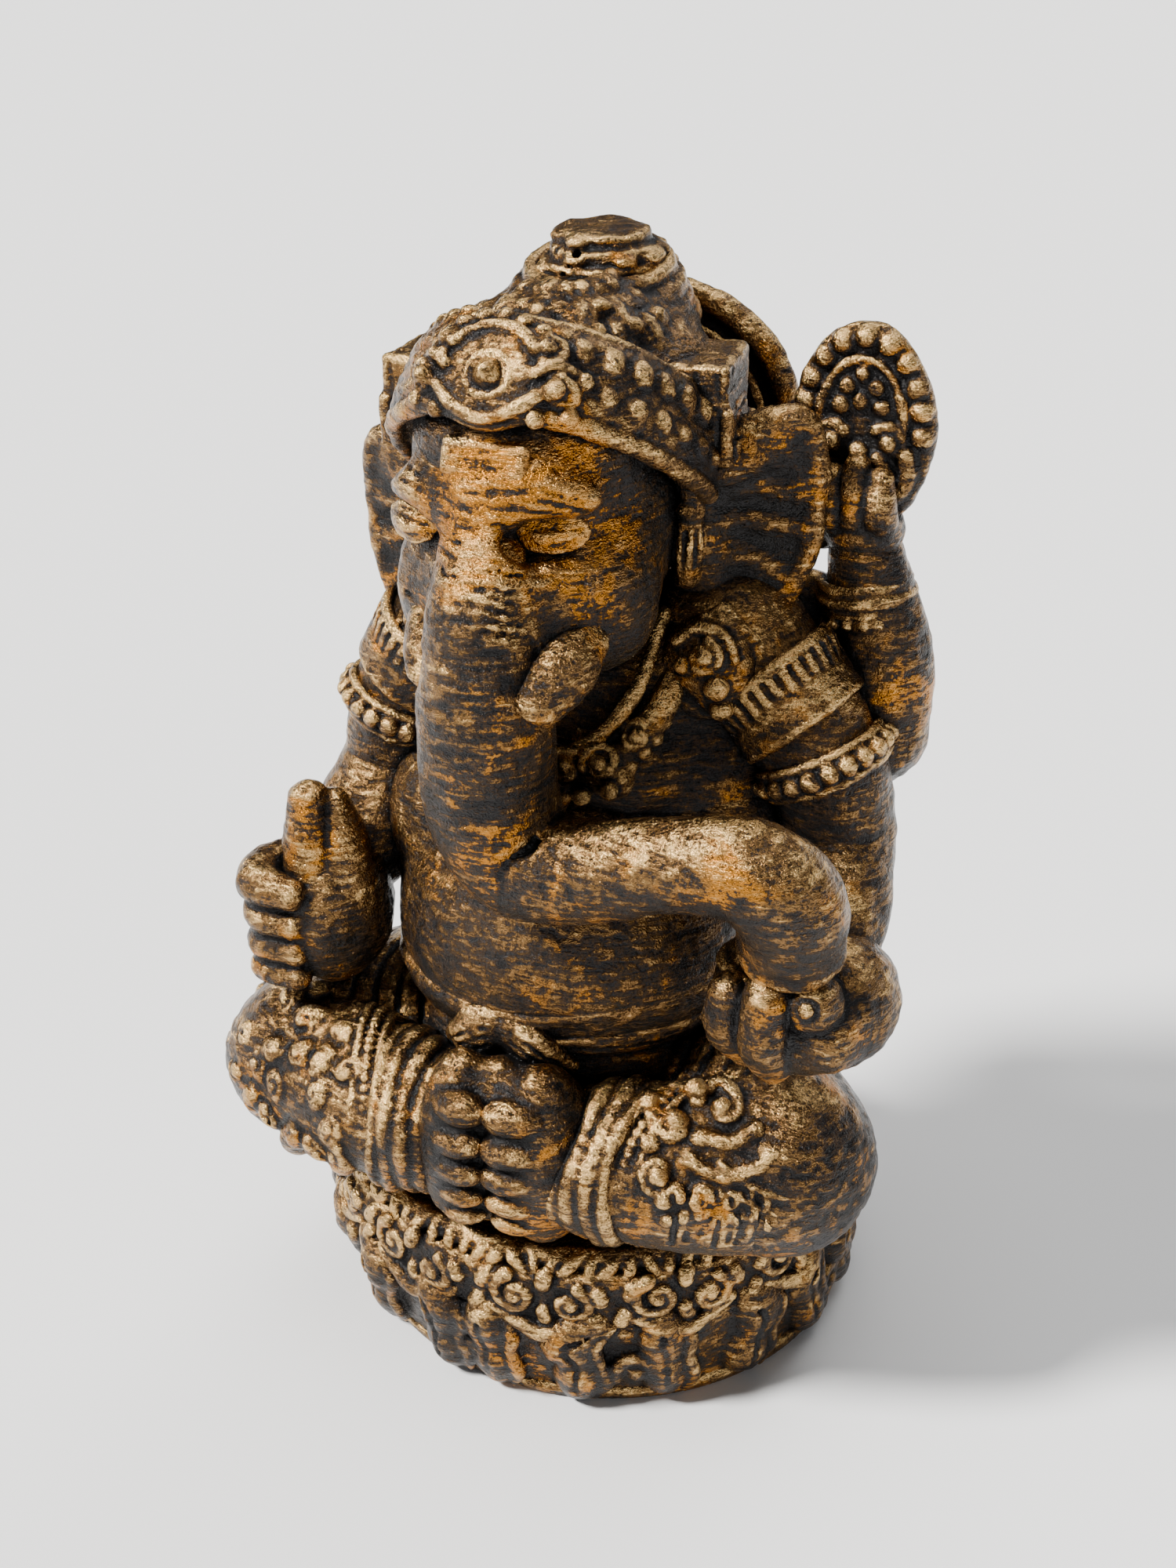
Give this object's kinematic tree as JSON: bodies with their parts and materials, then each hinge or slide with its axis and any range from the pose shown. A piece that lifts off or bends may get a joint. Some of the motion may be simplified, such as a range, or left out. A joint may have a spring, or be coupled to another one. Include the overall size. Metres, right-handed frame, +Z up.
{
  "type": "statuette",
  "caption": "seated elephant-headed garden statue with four arms, a curled trunk, a tall crown and a carved oval drum base, painted black and brushed with gold",
  "frame": {"origin": "middle of the flat underside of the drum base", "axes": "+Z up, the figure faces -Y, its own left hand is on the +X side"},
  "size_m": [0.3157, 0.2528, 0.5],
  "materials": {
    "gold_brushed_stone": "gold-bronze paint dry-brushed over black on cast stone, glossy varnish",
    "painted_stone": "black paint with thin gold-bronze dry-brushing on cast stone, glossy varnish",
    "dark_painted_stone": "black paint on cast stone, glossy varnish"
  },
  "bodies": {
    "root": {"base_bead_ring": "gold_brushed_stone", "base_petal_skirt": "painted_stone", "base_plinth": "dark_painted_stone", "base_scroll_frieze": "gold_brushed_stone", "belly": "painted_stone", "chest": "painted_stone", "crown_cap": "painted_stone", "crown_topknot": "painted_stone", "diadem": "gold_brushed_stone", "diadem_medallion": "gold_brushed_stone", "forehead_mark": "gold_brushed_stone", "halo_disc": "painted_stone", "head": "painted_stone", "hips": "painted_stone", "left_armlet": "gold_brushed_stone", "left_bead_armband": "gold_brushed_stone", "left_crown_wing": "painted_stone", "left_ear": "painted_stone", "left_ear_tassel": "gold_brushed_stone", "left_eye": "gold_brushed_stone", "left_foot": "painted_stone", "left_forearm": "painted_stone", "left_hand": "painted_stone", "left_leg": "painted_stone", "left_leg_cuff": "gold_brushed_stone", "left_rear_armband": "gold_brushed_stone", "left_rear_forearm": "painted_stone", "left_rear_hand": "painted_stone", "left_rear_upper_arm": "painted_stone", "left_shin": "gold_brushed_stone", "left_shoulder_drape": "painted_stone", "left_tusk": "gold_brushed_stone", "left_upper_arm": "painted_stone", "necklace": "gold_brushed_stone", "rear_bud": "gold_brushed_stone", "rear_disc": "gold_brushed_stone", "right_armlet": "gold_brushed_stone", "right_bead_armband": "gold_brushed_stone", "right_crown_wing": "painted_stone", "right_ear": "painted_stone", "right_ear_tassel": "gold_brushed_stone", "right_eye": "gold_brushed_stone", "right_foot": "painted_stone", "right_forearm": "painted_stone", "right_hand": "painted_stone", "right_leg": "painted_stone", "right_leg_cuff": "gold_brushed_stone", "right_rear_armband": "gold_brushed_stone", "right_rear_forearm": "painted_stone", "right_rear_hand": "painted_stone", "right_rear_upper_arm": "painted_stone", "right_shin": "gold_brushed_stone", "right_shoulder_drape": "painted_stone", "right_thumb": "gold_brushed_stone", "right_tusk": "gold_brushed_stone", "right_upper_arm": "painted_stone", "sash_knot": "gold_brushed_stone", "sweet_bowl": "gold_brushed_stone", "trunk": "gold_brushed_stone", "waistband": "dark_painted_stone"}
  },
  "joints": []
}
